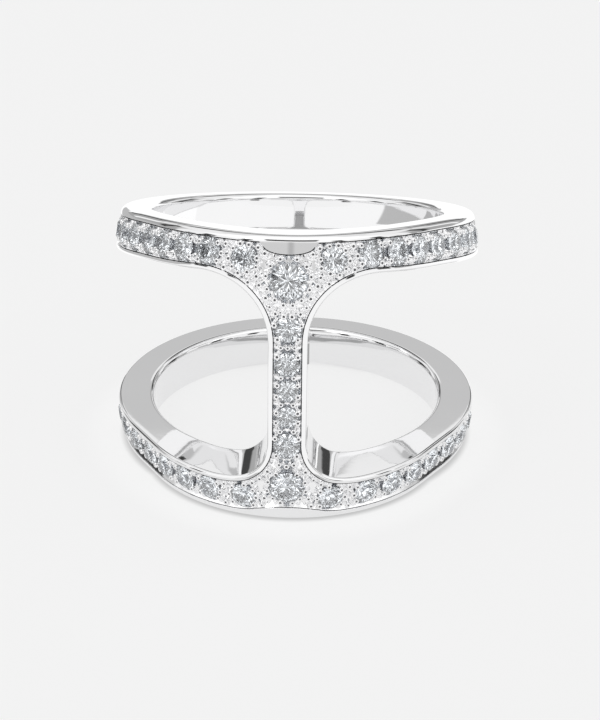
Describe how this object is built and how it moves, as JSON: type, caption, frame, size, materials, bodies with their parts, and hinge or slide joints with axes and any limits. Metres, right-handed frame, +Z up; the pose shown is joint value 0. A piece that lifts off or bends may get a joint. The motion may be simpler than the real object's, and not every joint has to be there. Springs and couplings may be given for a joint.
{
  "type": "diamond ring",
  "caption": "Double-band finger ring: two round bands joined at the front by one upright bar, pave-set with round brilliants across the front.",
  "frame": {"origin": "centre of the ring's footprint, on the surface that it lies on", "axes": "+Z up, -Y towards the front, where the bar is; left and right are mirror images about X = 0. The ring lies on the flat outer edge of its lower band, and the finger axis leans 8 degrees back (towards +Y) from +Z."},
  "size_m": [0.0216, 0.0245, 0.0169],
  "materials": {
    "white_gold": "polished, rhodium white",
    "paved_field": "bright-cut metal set with small brilliants",
    "diamond": "clear, faceted"
  },
  "bodies": {
    "root": {"ring_body": "white_gold", "pave_field": "paved_field", "diamond_head": "diamond", "diamond_bar_1": "diamond", "diamond_bar_2": "diamond", "diamond_bar_3": "diamond", "diamond_bar_4": "diamond", "diamond_bar_5": "diamond", "diamond_foot": "diamond"}
  },
  "joints": []
}
